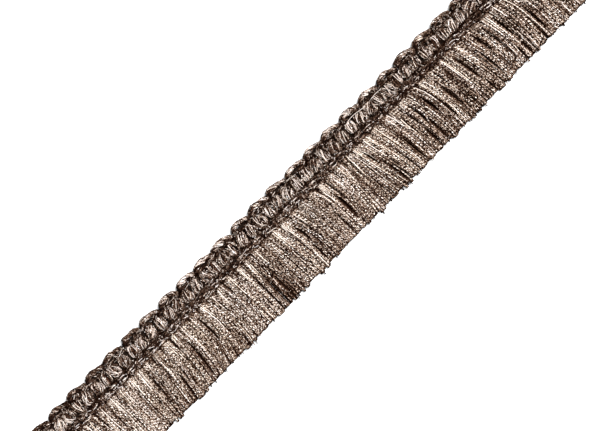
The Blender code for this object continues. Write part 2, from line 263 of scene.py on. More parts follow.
def ramp(value, start, end):
    """A smooth step from 0 at start to 1 at end: 3 s squared less 2 s cubed, with s held between 0 and 1."""
    held = np.clip((value - start) / (end - start), 0.0, 1.0)
    return held * held * (3.0 - 2.0 * held)


def window(value, middle, reach):
    """A smooth hump, 1 at its middle and 0 from reach away."""
    return ramp(np.abs(value - middle) / reach, 1.0, 0.0)


def wander(dice, rows, steps, reach):
    """Smooth random drift: white noise blurred along each row by a Gaussian that reaches that many steps.

    Each row's Fourier terms are multiplied by exp(-(2 pi f reach)^2 / 2), and the whole has unit spread."""
    noise = dice.standard_normal((rows, steps))
    frequency = np.fft.rfftfreq(steps)
    blur = np.exp(-0.5 * (TURN * frequency * reach) ** 2)
    drift = np.fft.irfft(np.fft.rfft(noise, axis=1) * blur, steps, axis=1)
    return drift / drift.std()


def across_path(paths, closed):
    """Two unit vectors across each path, so that side, lift and the path's direction are a right-handed three.

    The direction is the difference of a point's two neighbours, side is up x direction and lift is
    direction x side, each scaled to length 1."""
    if closed:
        run = np.roll(paths, -1, axis=-2) - np.roll(paths, 1, axis=-2)
    else:
        run = np.gradient(paths, axis=-2)
    run /= np.linalg.norm(run, axis=-1, keepdims=True)
    side = np.cross((0.0, 0.0, 1.0), run)
    side /= np.maximum(np.linalg.norm(side, axis=-1, keepdims=True), 1e-9)
    return side, np.cross(run, side)


def bundle_ends(path, half_width, half_height, angles, depth, closed):
    """The paths of the ends of one bundle, each at its own angle and depth around the bundle's path.

    End = path + depth (half_width cos(angle) side + half_height sin(angle) lift)."""
    side, lift = across_path(path, closed)
    out = (depth * half_width * np.cos(angles))[..., None]
    up = (depth * half_height * np.sin(angles))[..., None]
    return path + out * side + up * lift


def dye_lots(dice, count):
    """For each tube its dye, from 0 to 1, and where in millimetres its yarn's twist starts."""
    return dice.random(count), dice.uniform(0.0, 20.0, count)


class YarnMesh:
    """Collects tubes carried along paths, and makes one mesh of them."""

    def __init__(self):
        self.points, self.tones, self.dyes, self.faces, self.uvs = [], [], [], [], []
        self.count = 0

    def add_faces(self, faces, turn, along):
        """Adds faces, with the turn round the tube and the length along it of each of their corners."""
        self.faces.append(faces.reshape(-1, faces.shape[-1]))
        self.uvs.append(np.stack(np.broadcast_arrays(turn, along, faces)[:2], axis=-1).reshape(-1, 2))

    def add_tubes(self, paths, radii, tones, dyes, starts, sides, closed=False):
        """Adds a tube along each of the paths, (tubes, stations, 3). Radii and tones spread over the stations.

        Ring point = path + radius (cos(angle) side + sin(angle) lift), for angles from 0 round to 2 pi.
        The UV map holds the turn round the tube, a quarter at its top, and the tube's own start plus
        millimetres along it."""
        tubes, stations = paths.shape[:2]
        turn = (np.arange(sides) + 0.5) / sides
        angle = TURN * turn
        radii = np.broadcast_to(radii, (tubes, stations))[:, :, None]
        side, lift = across_path(paths, closed)
        rings = (
            paths[:, :, None]
            + (radii * np.cos(angle))[..., None] * side[:, :, None]
            + (radii * np.sin(angle))[..., None] * lift[:, :, None]
        )
        number = self.count + np.arange(tubes * stations * sides).reshape(tubes, stations, sides)
        near = number if closed else number[:, :-1]
        far = np.roll(number, -1, axis=1) if closed else number[:, 1:]
        walls = np.stack([near, np.roll(near, -1, axis=2), np.roll(far, -1, axis=2), far], axis=-1)

        loop = np.concatenate([paths, paths[:, :1]], axis=1) if closed else paths
        step = np.linalg.norm(np.diff(loop, axis=1), axis=-1) / MM
        along = np.reshape(starts, (-1, 1)) + np.pad(np.cumsum(step, axis=1), ((0, 0), (1, 0)))
        corner_along = along[:, :, None, None]
        corner_along = np.concatenate([corner_along[:, :-1]] * 2 + [corner_along[:, 1:]] * 2, axis=-1)
        self.add_faces(walls, turn[:, None] + np.array([0.0, 1.0, 1.0, 0.0]) / sides, corner_along)
        if not closed:
            for end, ring in ((0, number[:, 0, ::-1]), (-1, number[:, -1])):
                self.add_faces(ring, turn=0.25, along=along[:, end, None])
        self.points.append(rings.reshape(-1, 3))
        self.tones.append(np.repeat(np.broadcast_to(tones, (tubes, stations)), sides))
        self.dyes.append(np.repeat(np.broadcast_to(dyes, tubes), stations * sides))
        self.count += number.size

    def build(self, name, material, slot, *nodes):
        """Makes the piece, which rides on the root and stands for the CAD nodes named."""
        points = np.concatenate(self.points)
        corners = np.concatenate([faces.ravel() for faces in self.faces])
        sizes = np.concatenate([np.full(len(faces), faces.shape[1]) for faces in self.faces])
        mesh = bpy.data.meshes.new(name)
        mesh.vertices.add(len(points))
        mesh.vertices.foreach_set("co", points.astype(np.float32).ravel())
        mesh.loops.add(len(corners))
        mesh.loops.foreach_set("vertex_index", corners.astype(np.int32))
        mesh.polygons.add(len(sizes))
        mesh.polygons.foreach_set("loop_start", (np.cumsum(sizes) - sizes).astype(np.int32))
        mesh.polygons.foreach_set("use_smooth", np.ones(len(sizes), bool))
        uv_map = mesh.uv_layers.new(name="yarn")
        uv_map.data.foreach_set("uv", np.concatenate(self.uvs).astype(np.float32).ravel())
        for label, values in (("tone", self.tones), ("dye", self.dyes)):
            attribute = mesh.attributes.new(label, "FLOAT", "POINT")
            attribute.data.foreach_set("value", np.concatenate(values).astype(np.float32))
        mesh.update(calc_edges=True)
        mesh.materials.append(material)
        return add_piece(name, mesh, slot, *nodes)


def add_piece(name, mesh, slot, *nodes):
    """Links a mesh as a piece that rides on the root and stands for CAD nodes. The slot is not used."""
    piece = bpy.data.objects.new(name, mesh)
    bpy.context.scene.collection.objects.link(piece)
    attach(piece, "root")
    if nodes:
        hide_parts(*nodes)
    return piece


class Nodes:
    """A node tree with short ways to add nodes and join them."""

    def __init__(self, tree):
        self.tree = tree

    def add(self, kind, *values, **settings):
        """Adds a node with its settings, and feeds the values to its first sockets in order."""
        node = self.tree.nodes.new(kind)
        for name, value in settings.items():
            setattr(node, name, value)
        for socket, value in zip(node.inputs, values):
            self.feed(socket, value)
        return node

    def feed(self, socket, value):
        """Joins an output to a socket, or sets the socket to a number or colour."""
        if isinstance(value, bpy.types.NodeSocket):
            self.tree.links.new(value, socket)
        else:
            socket.default_value = value

    def math(self, operation, *values):
        """One sum worked on numbers or outputs."""
        return self.add("ShaderNodeMath", *values, operation=operation).outputs[0]

    def product(self, first, *others):
        """Several numbers multiplied together."""
        for other in others:
            first = self.math("MULTIPLY", first, other)
        return first

    def spread(self, value, low, high, new_low, new_high, kind="LINEAR"):
        """A number between low and high, carried over to between two new ones and held there."""
        node = self.add("ShaderNodeMapRange", value, low, high, new_low, new_high, interpolation_type=kind)
        return node.outputs[0]

    def mix(self, factor, low, high, blend="MIX"):
        """A colour on the way from low to high."""
        node = self.add("ShaderNodeMix", factor, data_type="RGBA", blend_type=blend)
        self.feed(node.inputs[6], low)
        self.feed(node.inputs[7], high)
        return node.outputs[2]

    def noise(self, vector, scale, detail):
        """The node of a noise whose first output is a number and whose Color holds three."""
        node = self.add("ShaderNodeTexNoise", vector)
        self.feed(node.inputs["Scale"], scale)
        self.feed(node.inputs["Detail"], detail)
        return node

    def bump(self, height, relief):
        """A normal from a height, whose 1 stands for that many metres."""
        node = self.add("ShaderNodeBump")
        self.feed(node.inputs["Strength"], 1.0)
        self.feed(node.inputs["Distance"], relief)
        self.feed(node.inputs["Height"], height)
        return node.outputs["Normal"]


def twisted_yarn_group():
    """The shared yarn effect: plies that turn round the yarn with painted shade in their grooves, fine fibres
    along them, flecks and clouds of lighter and darker tone.

    A ply's height is |sin(pi plies (turn + length / twist))|, where turn and length are the UV map's. The
    yarn's flanks get painted shade from sin(2 pi (turn + crimp (noise - 0.5))), with noise along the yarn, so
    that its top stays lightest. The shade s is groove x fibre x side x fleck x cloud x tone, and the grooves,
    flecks and clouds fade where the tone is high, so that painted sheen on light yarn looks smooth. It is held
    back to s (1 + softness) / (1 + softness s), and the colour is the dye times (s, s^1.22, s^1.38), so that
    deep shades are warmer and light ones paler."""
    found = bpy.data.node_groups.get("twisted_yarn")
    if found:
        return found
    group = bpy.data.node_groups.new("twisted_yarn", "ShaderNodeTree")
    for way, name, kind in (
        ("INPUT", "Winding", "Vector"),
        ("INPUT", "Place", "Vector"),
        ("INPUT", "Dye", "Color"),
        ("OUTPUT", "Color", "Color"),
        ("OUTPUT", "Height", "Float"),
        ("OUTPUT", "Roughness", "Float"),
    ):
        group.interface.new_socket(name, in_out=way, socket_type="NodeSocket" + kind)
    for name, value in YARN_DEFAULTS.items():
        group.interface.new_socket(name, in_out="INPUT", socket_type="NodeSocketFloat").default_value = value

    nodes = Nodes(group)
    given = nodes.add("NodeGroupInput").outputs
    turn, length = nodes.add("ShaderNodeSeparateXYZ", given["Winding"]).outputs[:2]
    lustrous = nodes.spread(given["Tone"], 1.28, 1.65, 0.0, 0.85)
    calm = nodes.math("SUBTRACT", 1.0, lustrous)
    turned = nodes.math("ADD", turn, nodes.math("DIVIDE", length, given["Twist"]))
    phase = nodes.product(turned, given["Plies"])
    ply = nodes.math("ABSOLUTE", nodes.math("SINE", nodes.product(phase, math.pi)))
    # Painted shade in the grooves between the plies.
    groove = nodes.spread(ply, 0.25, 1.0, given["Groove Shade"], 1.25, "SMOOTHSTEP")
    groove = nodes.math("MULTIPLY_ADD", groove, calm, lustrous)

    fibre_place = nodes.add("ShaderNodeCombineXYZ", nodes.product(phase, 5.0), nodes.product(length, 0.35))
    fibre = nodes.noise(fibre_place.outputs[0], scale=1.0, detail=1.0).outputs[0]
    fibre_shade = nodes.spread(fibre, 0.3, 0.7, 0.82, 1.14)

    yarn_number = nodes.product(given["Warmth"], 611.0)
    fleck_place = nodes.math("DIVIDE", length, given["Fleck Length"])
    fleck_place = nodes.add("ShaderNodeCombineXYZ", yarn_number, fleck_place).outputs[0]
    fleck_noise = nodes.noise(fleck_place, scale=1.0, detail=0.0)
    bend = nodes.add("ShaderNodeSeparateColor", fleck_noise.outputs["Color"]).outputs[1]
    bend = nodes.product(nodes.math("SUBTRACT", bend, 0.5), given["Crimp"])
    # Painted shade on the yarn's flanks: lightest where the turn is a quarter, at the yarn's top.
    crown = nodes.math("SINE", nodes.product(nodes.math("ADD", turn, bend), TURN))
    side_shade = nodes.spread(crown, 0.70, 0.94, given["Side Shade"], 1.0)
    fleck = nodes.product(nodes.spread(fleck_noise.outputs[0], 0.38, 0.62, -1.0, 1.0), calm)
    fleck = nodes.product(fleck, nodes.spread(fleck, -0.2, 0.2, 1.0, 0.5))
    fleck_shade = nodes.math("MULTIPLY_ADD", fleck, given["Fleck Strength"], 1.0)
    cloud = nodes.noise(given["Place"], given["Cloud Size"], detail=1.0).outputs[0]
    cloud = nodes.product(nodes.spread(cloud, 0.36, 0.64, -1.0, 1.0), calm)
    cloud_shade = nodes.math("MULTIPLY_ADD", cloud, given["Cloud Strength"], 1.0)

    shade = nodes.product(groove, fibre_shade, side_shade, fleck_shade, cloud_shade, given["Tone"])
    shade = nodes.math("MAXIMUM", shade, 0.01)
    held = nodes.math("MULTIPLY_ADD", shade, given["Softness"], 1.0)
    shade = nodes.math("DIVIDE", nodes.product(shade, nodes.math("ADD", given["Softness"], 1.0)), held)
    powers = (nodes.math("POWER", shade, power) for power in (1.0, 1.22, 1.38))
    channels = nodes.add("ShaderNodeCombineXYZ", *powers)
    tint = nodes.mix(given["Warmth"], (1.0, 0.99, 1.03, 1.0), (1.03, 0.985, 0.93, 1.0))
    dyed = nodes.mix(1.0, given["Dye"], tint, "MULTIPLY")

    put = nodes.add("NodeGroupOutput").inputs
    scaled = nodes.add("ShaderNodeVectorMath", dyed, channels.outputs[0], operation="MULTIPLY")
    nodes.feed(put["Color"], scaled.outputs[0])
    nodes.feed(put["Height"], nodes.math("MULTIPLY_ADD", fibre, 0.25, ply))
    nodes.feed(put["Roughness"], nodes.spread(shade, 0.15, 1.2, 0.92, 0.38))
    return group


def new_finish(name, gloss):
    """A new material with its nodes, its shader and its Object coordinates. Gloss is its surface shine."""
    material = bpy.data.materials.new(name)
    material.use_nodes = True
    nodes = Nodes(material.node_tree)
    shader = material.node_tree.nodes["Principled BSDF"].inputs
    shader["Specular IOR Level"].default_value = gloss
    return material, nodes, shader, nodes.add("ShaderNodeTexCoord").outputs["Object"]


def yarn_material(name, colour, relief, gloss, **effect):
    """A yarn finish: the shared yarn effect with its own dye, twist and flecks, raised by relief metres."""
    found = bpy.data.materials.get(name)
    if found:
        return found
    material, nodes, shader, place = new_finish(name, gloss)
    yarn = nodes.add("ShaderNodeGroup", node_tree=twisted_yarn_group())
    given = {
        "winding": nodes.add("ShaderNodeUVMap", uv_map="yarn").outputs[0],
        "place": place,
        "dye": (*colour, 1.0),
        "tone": nodes.add("ShaderNodeAttribute", attribute_name="tone").outputs["Fac"],
        "warmth": nodes.add("ShaderNodeAttribute", attribute_name="dye").outputs["Fac"],
    }
    for label, value in {**given, **effect}.items():
        nodes.feed(yarn.inputs[label.replace("_", " ").title()], value)
    nodes.feed(shader["Base Color"], yarn.outputs["Color"])
    nodes.feed(shader["Roughness"], yarn.outputs["Roughness"])
    nodes.feed(shader["Normal"], nodes.bump(yarn.outputs["Height"], relief))
    return material


def knit_material(name, colour):
    """The dark knitted ground: matt, with fine fibres that follow the stitches and painted shade in the knit's
    hollows.
    """
    material, nodes, shader, place = new_finish(name, gloss=0.0)
    # The tone attribute holds painted shade, darker where the knit is low.
    height = nodes.add("ShaderNodeAttribute", attribute_name="tone").outputs["Fac"]
    fibre = nodes.noise(place, scale=3200.0, detail=2.0).outputs[0]
    scaled = nodes.add("ShaderNodeVectorMath", colour, operation="SCALE")
    nodes.feed(scaled.inputs["Scale"], nodes.product(nodes.spread(fibre, 0.3, 0.7, 0.7, 1.3), height))
    nodes.feed(shader["Base Color"], scaled.outputs[0])
    nodes.feed(shader["Normal"], nodes.bump(fibre, relief=0.08 * MM))
    shader["Roughness"].default_value = 0.9
    return material


def knit_relief(along, across):
    """Height of the knit, 0 to 1: wales across the band, each a row of V stitches that point along it.

    Wale = |sin(pi across / wale width)|, and stitch = |sin(pi (along / stitch length + V))|, where V is
    0.9 times the distance from the wale's middle in wale widths. Height = wale^0.6 (0.55 + 0.45 stitch)."""
    place = across / WALE_WIDTH
    from_middle = np.abs(place - np.floor(place) - 0.5)
    wale = np.abs(np.sin(math.pi * place)) ** 0.6
    stitch = np.abs(np.sin(math.pi * (along / KNIT_STITCH + 0.9 * from_middle)))
    return wale * (0.55 + 0.45 * stitch)


def ground_band_mesh():
    """A closed slab whose two broad faces are grids raised by the knit, joined by flat walls at the rim.

    Top = slab top - relief (1 - knit), and back = slab bottom + relief (1 - knit)."""
    x = np.linspace(BAND_LOW.x, BAND_HIGH.x, GROUND_GRID[0])
    y = np.linspace(GROUND_INNER_Y, GROUND_OUTER_Y, GROUND_GRID[1])
    along, across = np.meshgrid(x, y, indexing="ij")
    knit = knit_relief(along, across)
    sunk = GROUND_RELIEF * (1.0 - knit)
    points = [np.stack([along, across, z], axis=-1) for z in (GROUND_TOP - sunk, BAND_LOW.z + sunk)]
    number = np.arange(along.size).reshape(along.shape)
    grid = np.stack([number[:-1, :-1], number[1:, :-1], number[1:, 1:], number[:-1, 1:]], axis=-1)
    grid = grid.reshape(-1, 4)
    rim = np.concatenate([number[:-1, 0], number[-1, :-1], number[:0:-1, -1], number[0, :0:-1]])
    after = np.roll(rim, -1)
    walls = np.stack([rim + along.size, after + along.size, after, rim], axis=-1)
    faces = np.concatenate([grid, grid[:, (0, 3, 2, 1)] + along.size, walls])
    mesh = bpy.data.meshes.new("ground_band")
    mesh.from_pydata(np.concatenate(points).reshape(-1, 3).tolist(), [], faces.tolist())
    # Painted shade: the tone is darker where the knit is low.
    tone = mesh.attributes.new("tone", "FLOAT", "POINT")
    tone.data.foreach_set("value", np.tile(0.45 + 0.75 * knit.ravel(), 2).astype(np.float32))
    mesh.polygons.foreach_set("use_smooth", np.ones(len(faces), bool))
    mesh.update()
    return mesh


def gimp_cord_stations(dice, samples):
    """The cord's path, half sizes and light from end to end, as a curve through the rows of its table.

    Between rows p1 and p2, with neighbours p0 and p3, the curve at share t is the Catmull-Rom cubic
    (2 p1 + (p2 - p0) t + (2 p0 - 5 p1 + 4 p2 - p3) t^2 + (3 p1 - p0 - 3 p2 + p3) t^3) / 2. It is cut off
    where the cord would reach past the trimming's two ends."""
    table = np.array(CORD_REPEAT) * ([MM] * 5 + [1.0])
    middles = (np.arange(-1, SCALLOPS + 1) + 0.5) * SCALLOP - LENGTH / 2
    knots = np.tile(table, (len(middles), 1, 1))
    knots[:, :, 0] += middles[:, None]
    knots[:, :, :3] += np.array(CORD_STRAY) * MM * dice.standard_normal(knots[:, :, :3].shape)
    knots[:, :, 3:] *= 1.0 + np.array(CORD_CHANGE) * dice.standard_normal(knots[:, :, 3:].shape)
    knots = knots.reshape(-1, table.shape[1])
    before, start, end, beyond = knots[:-3], knots[1:-2], knots[2:-1], knots[3:]
    t = (np.arange(samples) / samples)[:, None, None]
    curve = 0.5 * (
        2.0 * start
        + (end - before) * t
        + (2.0 * before - 5.0 * start + 4.0 * end - beyond) * t**2
        + (3.0 * start - before - 3.0 * end + beyond) * t**3
    )
    stations = curve.transpose(1, 0, 2).reshape(-1, table.shape[1])
    outside = np.flatnonzero(np.abs(stations[:, 0]) + 0.6 * stations[:, 3] > LENGTH / 2)
    first = outside[outside < len(stations) // 2].max() + 1
    last = outside[outside > len(stations) // 2].min()
    return stations[first:last]


def shade_gimp(tones, stations, flank):
    """The tones of the gimp ends with painted shade, where the turns of the cord would shade one another.

    Flank runs from -1 to 1 across the cord. In a scallop the outer rim gets painted shade, and so do a crescent
    in the hollow at its start, 1 - 0.98 exp(-((flank - hollow) / 0.52)^4), and the inner side of its tail. In a
    puff both flanks do. All is scaled by the row's light, and held under a lightest tone."""
    x, y = stations[:, 0], stations[:, 1] / MM
    place = ((x / LENGTH + 0.5) * SCALLOPS % 1.0 - 0.5) * SCALLOP / MM  # from the scallop's middle
    on_edge = ramp(y, 2.9, 3.9)
    on_puff = 1.0 - on_edge
    rim = 0.55 * ramp(flank, 0.50, 0.85) * on_edge
    hollow = 0.34 - 0.36 * ramp(y, 3.5, 5.4)
    started = ramp(place, -5.1, -4.7) * ramp(place, -2.0, -2.9) * ramp(y, 2.3, 2.8)
    crescent = 0.98 * started * np.exp(-(((flank - hollow) / 0.52) ** 4))
    tail = 0.95 * ramp(place, 0.2, 0.9) * ramp(place, 4.0, 3.2) * ramp(flank, 0.0, -0.3) * on_edge
    flanks = 0.45 * ramp(np.abs(flank), 0.55, 0.90) * on_puff
    row = on_edge * at(ROW_LIGHTS, "scallops", x) + on_puff * at(ROW_LIGHTS, "puffs", x)
    # Painted shade on the rim, the crescent, the tail and the puff flanks.
    tones = tones * row * (1.0 - rim) * (1.0 - crescent) * (1.0 - tail) * (1.0 - flanks)
    return np.minimum(tones, 1.90 + 0.45 * on_edge)


def build_gimp_cord(sizes, colours):
    """The gimp cord: fine ends side by side round a core painted dark as the shade between them, swelling in
    the puffs and scallops.

    An end's angle is its own share of a turn, plus the cord's twist so far, plus its own drift. The twist is
    3.6 turns for each repeat in the scallops, and drifts about 0.9 turns in the crossings."""
    dice = np.random.default_rng(sizes.seed)
    stations = gimp_cord_stations(dice, samples=2)
    steps = len(stations)
    ends = sizes.gimp_ends
    path, half_width, half_height = stations[None, :, :3], stations[None, :, 3], stations[None, :, 4]
    rate = np.where(stations[:, 1] > 2.6 * MM, 3.6, 0.9 + 1.8 * wander(dice, 1, steps, 4.0)[0])
    twist = TURN * np.cumsum(rate) / (steps / SCALLOPS)
    angles = TURN * np.arange(ends)[:, None] / ends + twist
    angles = angles + 0.45 * wander(dice, ends, steps, 1.6)
    depth = 0.86 + 0.10 * wander(dice, ends, steps, 2.5)
    radii = 0.5 * sizes.gimp_end_width * (1.0 + 0.12 * wander(dice, ends, steps, 2.0))
    tones = 0.07 + 1.45 * ramp(0.40 * wander(dice, ends, steps, 1.1), -0.5, 0.5)
    # The table's light column paints shade and highlight along the cord, and shade_gimp paints more shade.
    tones = shade_gimp(tones * np.clip(stations[:, 5], 0.03, 2.0), stations, depth * np.cos(angles))
    yarn = YarnMesh()
    paths = bundle_ends(path, half_width, half_height, angles, depth, closed=False)
    yarn.add_tubes(paths, radii, tones, *dye_lots(dice, ends), sides=3)
    core_radius = 0.66 * np.minimum(half_width, half_height)
    # The core's low tone is painted shade, seen in the gaps between the ends.
    yarn.add_tubes(path, core_radius, tones=0.10, dyes=0.0, starts=0.0, sides=6)
    radius = 0.45 * sizes.gimp_end_width
    for row, count, across, height, reach, fall, lightest in (
        ("puffs", 7 * SCALLOPS, -0.1, 3.75, 1.9, 0.9, 1.5),
        ("outer_chain", 6 * SCALLOPS, 3.3, 3.1, 0.7, 0.5, 2.4),
    ):
        centre = (across * MM, height * MM)
        add_crossings(yarn, dice, row, count, centre, reach * MM, radius, fall * MM, lightest)
    material = yarn_material(
        "gimp_yarn_finish", colours.gimp, relief=0.08 * MM, gloss=0.06,
        twist=1.8, groove_shade=0.25, side_shade=0.12,
        fleck_length=0.5, fleck_strength=1.15, cloud_strength=0.5,
    )
    return yarn.build("gimp_cord_ends", material, "gimp_yarn", "gimp_cord")


def link_paths(middles, across, height, half_length, half_width, tilt, steps):
    """A closed link for each middle: an egg in plan that lies a little over the link before it.

    x = middle + half_length cos a, y = across + half_width sin a (1 + 0.2 cos a), z = height - tilt cos a."""
    angle = TURN * np.arange(steps) / steps
    x = middles[:, None] + half_length[:, None] * np.cos(angle)
    y = across[:, None] + half_width[:, None] * np.sin(angle) * (1.0 + 0.2 * np.cos(angle))
    z = height[:, None] - tilt * np.cos(angle)
    return np.stack([x, y, z], axis=-1)


def row_centre(name):
    """The middle of the box of a row's CAD node, across the trimming and in height."""
    low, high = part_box(name)
    return (low.y + high.y) / 2, (low.z + high.z) / 2


def stitch_middles(offset):
    """The middles of the stitches along the trimming, moved by a share of a stitch, inside its two ends."""
    middles = (np.arange(STITCHES) + 0.5 + offset) * STITCH - LENGTH / 2
    return middles[np.abs(middles) < LENGTH / 2 - 0.3 * STITCH]


def add_links(yarn, dice, row, middles, centre, half_size, tilt, ends, spread, width, steps, tones):
    """Adds a row of links to a yarn mesh, each link a small bundle of ends that twists once on its way round.

    Each end takes its tone from the low to the high of tones, most of them near the low. It drifts along the
    end and has painted light and shade: it goes from 1.25 times at the link's two sides down to 0.25 times at
    its two tips, where it passes under its neighbours. All is scaled by the row's light."""
    count = len(middles)
    along, across, height = LINK_STRAY
    links = link_paths(
        middles + along * dice.standard_normal(count),
        centre[0] + across * dice.standard_normal(count),
        centre[1] + height * dice.standard_normal(count),
        half_size[0] * (1.0 + LINK_CHANGE[0] * dice.standard_normal(count)),
        half_size[1] * (1.0 + LINK_CHANGE[1] * dice.standard_normal(count)),
        tilt,
        steps,
    )
    around = TURN * np.arange(steps) / steps
    start = dice.random(count) * TURN
    # Painted light and shade round each link: lighter at its sides, darker at its tips under its neighbours.
    light = (1.25 - 1.0 * ramp(np.abs(np.cos(around)), 0.30, 0.75)) * at(ROW_LIGHTS, row, middles)[:, None]
    for end in range(ends):
        angles = start[:, None] + TURN * end / ends + around
        paths = bundle_ends(links, spread, spread, angles, depth=1.0, closed=True)
        radii = 0.5 * width * (1.0 + 0.1 * dice.standard_normal((count, 1)))
        own_tone = tones[0] + (tones[1] - tones[0]) * dice.random((count, 1)) ** 2.5
        tone = own_tone * np.clip(1.0 + 0.7 * wander(dice, count, steps, 0.8), 0.05, 2.4)
        tone = np.minimum(tone * light, LIGHTEST_STITCH)
        yarn.add_tubes(paths, radii, tone, *dye_lots(dice, count), sides=4, closed=True)


def add_crossings(yarn, dice, row, count, centre, reach, radius, fall, lightest):
    """Adds short bowed ends that cross a row at all slants, as the knitting throws them up.

    At share s from -1 to 1, x = place + slant s + bow (1 - s^2), y = across + reach s and z falls by
    fall s^2. Their own tones run up to lightest, most of them low, and the light ones also stand in for glints
    as painted highlights. They fade to 0.6 at both tips, and are scaled by the row's light."""
    share = np.linspace(-1.0, 1.0, 7)
    each = (count, 1)
    x = dice.uniform(-0.497, 0.497, each) * LENGTH + dice.normal(0.0, 0.8, each) * MM * share
    x = x + dice.normal(0.0, 0.45, each) * MM * (1.0 - share**2)
    y = centre[0] + dice.normal(0.0, 0.45, each) * reach + dice.uniform(0.3, 1.0, each) * reach * share
    z = centre[1] + dice.uniform(-0.1, 0.3, each) * MM - fall * share**2
    x = np.clip(x, -LENGTH / 2 + 0.4 * MM, LENGTH / 2 - 0.4 * MM)
    tones = (0.03 + lightest * dice.random(each) ** 2.0) * (1.0 - 0.4 * share**2) * at(ROW_LIGHTS, row, x)
    tones = np.minimum(tones, LIGHTEST_STITCH)
    yarn.add_tubes(np.stack([x, y, z], axis=-1), radius, tones, *dye_lots(dice, count), sides=3)


def build_chain(name, seed, sizes, colours, lightest):
    """One chain stitch of dark yarn, whose links lie end over end along the row of its CAD node.

    Its lightest ends, lighter yarn that also stands in for painted glints, have the tone given as lightest."""
    dice = np.random.default_rng(seed)
    middles = stitch_middles(0.0)
    across, height = row_centre(name)
    across = across - 0.12 * MM
    width = sizes.chain_yarn_width
    yarn = YarnMesh()
    add_links(
        yarn, dice, name, middles, (across, height), half_size=(3.0 * MM, 0.18 * MM), tilt=0.12 * MM,
        ends=3, spread=0.12 * MM, width=width, steps=16, tones=(0.02, 0.3 * lightest),
    )
    add_crossings(
        yarn, dice, name, 5 * len(middles), (across, height + 0.25 * MM),
        reach=0.60 * MM, radius=0.50 * width, fall=0.45 * MM, lightest=lightest,
    )
    material = yarn_material(
        "chain_yarn_finish", colours.chain, relief=0.07 * MM, gloss=0.0,
        twist=1.5, groove_shade=0.25, side_shade=0.15,
        fleck_length=0.6, fleck_strength=1.2, cloud_strength=0.6,
    )
    return yarn.build(name + "_stitches", material, "chain_yarn", name)


def build_loop_row(sizes, colours):
    """The row of knitted loops over the brush roots: links, a small knot where two meet, and crossing ends."""
    dice = np.random.default_rng(sizes.seed + 5)
    middles, knots = stitch_middles(0.0), stitch_middles(0.5)
    across, height = row_centre("loop_row")
    width = sizes.loop_yarn_width
    tones = (0.04, 1.6)
    yarn = YarnMesh()
    add_links(
        yarn, dice, "loops", middles - 0.9 * MM, (across - 0.05 * MM, height - 0.1 * MM),
        half_size=(2.35 * MM, 0.75 * MM), tilt=0.22 * MM,
        ends=5, spread=0.30 * MM, width=width, steps=18, tones=tones,
    )
    add_links(
        yarn, dice, "loops", knots, (across - 0.15 * MM, height + 0.1 * MM),
        half_size=(0.75 * MM, 1.10 * MM), tilt=-0.1 * MM,
        ends=3, spread=0.2 * MM, width=width, steps=12, tones=tones,
    )
    for aside in (0.6, -0.15, -1.0):
        add_crossings(
            yarn, dice, "loops", 4 * len(middles), (across + aside * MM, height + 0.25 * MM),
            reach=0.50 * MM, radius=0.44 * width, fall=0.35 * MM, lightest=3.4,
        )
    material = yarn_material(
        "loop_yarn_finish", colours.loops, relief=0.08 * MM, gloss=0.04,
        twist=1.5, groove_shade=0.2, side_shade=0.12,
        fleck_length=0.6, fleck_strength=1.1, cloud_strength=0.4,
    )
    return yarn.build("loop_row_stitches", material, "loop_yarn", "loop_row")


def bundle_habits(dice):
    """What every bundle of the brush has of its own: lean, bow, the painted sheen on its root and its drift of
    tone.
    """
    return {
        "lean": 0.3 * MM * dice.standard_normal(STITCHES),
        "bow": 0.30 * MM * wander(dice, 1, STITCHES, 0.8)[0],
        # How strong the painted highlight is on the bundle's crown near the roots.
        "root_sheen": dice.random(STITCHES) ** 1.6,
        "drift": 0.13 * wander(dice, STITCHES, len(DOWN), 2.2),
    }


def lock_habits(dice, roots):
    """What every lock has of its own, for each yarn: its middle, lean, rise, bow, dye and splits.

    A lock is a run of neighbouring yarns that cling together, 0.5 to 1.9 mm wide at the roots. Where two
    locks meet they split over part of their length: away is the yarn's distance from the nearer meeting."""
    edges = np.concatenate([[0.0], np.cumsum(dice.uniform(0.5, 1.9, 300))]) * MM - LENGTH / 2
    locks = len(edges)
    lock = np.clip(np.searchsorted(edges, roots), 1, locks - 1)
    middle = 0.5 * (edges[lock - 1] + edges[lock])
    meeting = np.where(roots > middle, lock, lock - 1)
    return {
        "middle": middle,
        "lean": 0.40 * MM * dice.standard_normal(locks)[lock],
        "rise": 0.30 * dice.standard_normal(locks)[lock],
        "bow": 0.15 * MM * dice.standard_normal(locks)[lock],
        "dye": 0.20 * wander(dice, locks, len(DOWN), 2.6)[lock[:, 0]],
        "away": roots - edges[meeting],
        "split_place": dice.uniform(0.15, 1.0, locks)[meeting],
        "split_reach": dice.uniform(0.18, 0.60, locks)[meeting],
        "split_depth": (dice.random(locks) * ramp(0.45 * wander(dice, 1, locks, 4.0)[0], -0.35, 0.65))[meeting],
    }


def tooth_reaches(dice, roots, unevenness):
    """How far the cut ends stand out at each root, in teeth 0.4 to 1.8 mm wide. One in six stands out more."""
    edges = np.cumsum(dice.uniform(0.4, 1.8, 400)) * MM - LENGTH / 2
    teeth = 0.35 * dice.standard_normal(401) - 2.2 * dice.random(401) * (dice.random(401) < 0.16)
    return unevenness * teeth[np.searchsorted(edges, roots)]


def lock_splits(lock):
    """How far each yarn belongs to a split between two locks, 0 to 1, at each share of the way down.

    Split = depth exp(-(away / 0.26 mm)^2), eased out towards the split's two ends."""
    near = lock["split_depth"] * np.exp(-((lock["away"] / (0.26 * MM)) ** 2))
    return near * window(DOWN, lock["split_place"], lock["split_reach"])


def sway(lean, bow, down):
    """How far a yarn lies aside at a share d of the way down from loops to cut ends.

    Sway = lean (0.45 d + 0.55 (1 - (1 - d)^2)) + bow sin(pi d)."""
    return lean * (0.45 * down + 0.55 * (1.0 - (1.0 - down) ** 2)) + bow * np.sin(math.pi * down)


